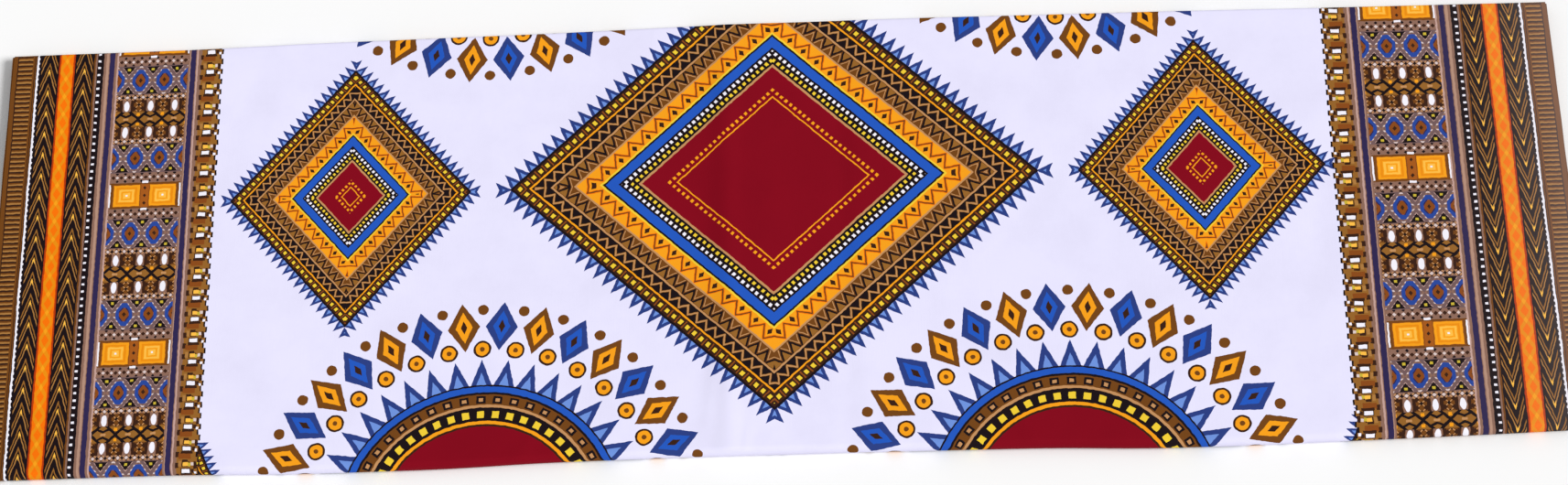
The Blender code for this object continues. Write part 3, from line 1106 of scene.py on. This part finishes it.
colour = paint(colour, PINK_BROWN, in_row["dots"])
colour = paint(colour, TAN, in_row["white bars"] & near(on_x - on_y, 0.0, 0.5))
for check_dye, x, y, reach in ((DARK_BROWN, on_x, on_y, 2.0), (BLACK, off_x, off_y, 1.5)):
    colour = paint(colour, check_dye, in_row["white bars"] & lozenge(x, y, reach, reach))
pink_dot = lozenge(on_x, abs(panel_y - DOT_ROW), 1.4, 1.4)
colour = paint(colour, PALE_PINK, in_panel & pink_dot)
for bar_dye, middle, half_width, half_height in (
    (DARK_BROWN, 4.4, 1.1, 4.8),
    (PINK_BROWN, 0.0, 3.0, 5.0),
):
    bar = near(cap_x, middle, half_width) & near(panel_y, DARK_BAR_ROW, half_height)
    colour = paint(colour, bar_dye, in_row["white bars"] & bar)
white_bar = oval(cap_x, panel_y - WHITE_BAR_ROW, 2.1, 4.4)
colour = paint(colour, WHITE, in_row["white bars"] & white_bar)

cross_y = CROSS_MIDDLE - panel_y
in_crosses = in_panel & (cross_y < CROSS_REACH)
arch = near(cross_y - cap_x * 0.5, 2.2, 1.0) & (cap_x < 5.2)
arm = near(cross_y - blue_x * 0.95, 0.3, 1.5)
colour = paint(colour, LIGHT_BROWN, in_crosses)
colour = paint(colour, BLACK, in_crosses & (arch | arm))
colour = paint(colour, TAN, in_crosses & (cap_x < 2.0) & (cross_y < 1.0))
colour = paint(colour, GOLD, in_crosses & marks(cross_y, 4.2, 1.2, blue_x, 1.2))
print("bars and crosses drawn,", len(print_nodes), "nodes so far")

# %% [markdown]
# A square is drawn with the larger of two distances from its centre, as a circle is with the
# straight one. Steps of that distance give rings of gold, paler towards the middle.

# %% Gold squares
SQUARE_PLACE = 13.7
SQUARE_NARROWING = 0.9

for strip_dye, x_middle, half_width, y_middle, half_height in (
    (BROWN, 0.0, PANEL_REACH, 0.0, 10.8),
    (BRIGHT_RUST, 0.0, 3.4, 0.0, 9.6),
    (WHITE, 0.0, 2.4, 11.4, 0.9),
    (WHITE, 26.6, 0.6, 0.0, 9.6),
):
    strip = near(panel_x, x_middle, half_width) & near(panel_y, y_middle, half_height)
    colour = paint(colour, strip_dye, strip)
eye = lozenge(panel_x, apart(panel_y, 6.4), 1.3, 1.6)
colour = paint(colour, DARK_BROWN, eye & (panel_y < 10.0))
square = (abs(panel_x - SQUARE_PLACE) * SQUARE_NARROWING).maths("MAXIMUM", panel_y)
for ring_dye, middle, reach in (
    (RUST, 0.0, 9.6),
    (GOLD, 0.0, 8.9),
    (DEEP_GOLD, 6.4, 0.7),
    (PALE_GOLD, 4.4, 0.7),
    (PALE_GOLD, 0.0, 2.4),
    (WHITE, 0.0, 0.7),
):
    colour = paint(colour, ring_dye, near(square, middle, reach))
print("wide panel drawn,", len(print_nodes), "nodes so far")

# %% [markdown]
# The border's inner edge is a row of beads on brown: a white bar and a gold dot in turn, each
# with a dark outline. They are not mirrored along the cloth, so their place in a step runs one
# way only, which the Floored Modulo operation gives.

# %% Beads on the border's inner edge
bead_y = (along * side).maths("FLOORED_MODULO", BEAD_STEP)
for bead_dye, middle, half_width, step_place, half_length in (
    (RUST, 152.4, 4.6, 14.0, 2.2),
    (STRAW, 149.2, 1.1, 3.0, 2.2),
    (DARK_BROWN, 153.8, 4.4, 11.3, 1.0),
    (DARK_BROWN, 152.8, 2.0, 0.8, 0.8),
    (DARK_BROWN, 153.6, 3.6, 8.4, 2.2),
    (DARK_BROWN, 153.4, 2.7, 3.4, 2.0),
    (WHITE, 153.6, 2.9, 8.4, 1.5),
    (PALE_GOLD, 153.4, 1.9, 3.4, 1.4),
    (OLIVE, 156.2, 0.9, 3.8, 1.3),
    (PALE_PINK, 158.2, 1.0, 3.2, 1.2),
    (DARK_BROWN, 158.6, 1.2, 8.4, 1.6),
    (DARK_BROWN, 160.2, 0.9, 4.0, 2.6),
    (WHITE, 160.4, 0.9, 9.6, 1.0),
):
    bead = near(from_edge, middle, half_width) & near(bead_y, step_place, half_length)
    colour = paint(colour, bead_dye, bead)
print("border drawn,", len(print_nodes), "nodes so far")

# %% [markdown]
# Real printed cotton is not a flat colour. The dye takes unevenly. A painted sheen, a pale
# haze mixed into the colour, makes the right end paler towards its selvedge. The cloth is a
# plain weave of threads a third of a millimetre apart, some thicker than others. Threads that
# fine could not be modelled over six yards, so they are a bump in the material. The cloth is pressed
# smooth, but it stays nearly matt.

# %% Dye, painted sheen, weave and finish
UNEVEN_DYE = 0.08
EVEN_SHADE = 0.02
SHADE_COLOUR = (0.16, 0.12, 0.22, 1.0)
BLOTCH_SCALE = 0.02
# Painted sheen on the right end: where it starts, how far it grows, and how pale it gets.
SHEEN_START = 400.0
SHEEN_LENGTH = 184.0
SHEEN_POWER = 5.0
SHEEN_AT_SELVEDGE = 0.12
THREAD_MM = 0.36
WEAVE_HEIGHT = 0.05 * MM
WEAVE_STRENGTH = 0.35
THREAD_SHARE = 0.5
SLUB_SHARE = 1.2
SLUB_SCALE = 0.9
SLUB_STRETCH = (1.0, 0.06, 1.0)
COTTON_ROUGHNESS = 0.62
ROUGHER_SLUBS = 0.14
ROUGHER_BLOTCHES = 0.06
COTTON_GLOSS = 0.07

blotch = flat_noise(flat_mm, BLOTCH_SCALE, 4.0, 0.65)
uneven = (blotch - 0.5) * (2 * UNEVEN_DYE) + EVEN_SHADE
multiplied = {"data_type": "RGBA", "blend_type": "MULTIPLY"}
shaded = {0: uneven, 6: colour, 7: SHADE_COLOUR}
colour = blank.node("ShaderNodeMix", multiplied, shaded, output=2)
# Painted sheen: towards the right selvedge the colour is mixed with a pale pink haze, which stands
# in for light glancing off the cloth.
painted_sheen = ((across - SHEEN_START) / SHEEN_LENGTH).maths("MAXIMUM", 0.0)
colour = paint(colour, PALE_PINK, painted_sheen.maths("POWER", SHEEN_POWER) * SHEEN_AT_SELVEDGE)

thread_u = (coordinate(flat_mm, 0) * (math.pi / THREAD_MM)).maths("SINE")
thread_v = (coordinate(flat_mm, 1) * (math.pi / THREAD_MM)).maths("SINE")
slub_place = vector_maths("MULTIPLY", {0: flat_mm, 1: SLUB_STRETCH})
slub = flat_noise(slub_place, SLUB_SCALE, 2.0, 0.6)
height = thread_u * thread_v * THREAD_SHARE + slub * SLUB_SHARE
woven = {"Strength": WEAVE_STRENGTH, "Distance": WEAVE_HEIGHT, "Height": height}
cotton_sockets = {
    "Base Color": colour,
    "Roughness": COTTON_ROUGHNESS + slub * ROUGHER_SLUBS + blotch * ROUGHER_BLOTCHES,
    "Normal": blank.node("ShaderNodeBump", {}, woven),
    "Specular IOR Level": COTTON_GLOSS,
}
cotton = blank.node("ShaderNodeBsdfPrincipled", {}, cotton_sockets)
blank.node("ShaderNodeOutputMaterial", {}, {"Surface": cotton})
for sheet in (under_cloth, outer_cloth, inner_cloth):
    sheet.data.materials.append(printed_cotton)
print("the print is done,", len(print_nodes), "nodes in all")

# %% [markdown]
# Last, each sheet is tied to the frame: it rides on the pack's one body, and it stands for the
# solid pieces that it covers, which are hidden.

# %% Tie the sheets to the frame
for sheet, nodes, slot in (
    (under_cloth, ("bottom_panel",), "printed_cotton"),
    (outer_cloth, ("front_fold", "top_panel", "back_fold"), "printed_cotton"),
    (inner_cloth, ("hidden_layers",), "printed_cotton_layers"),
):
    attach(sheet, "root")
    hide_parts(*nodes)
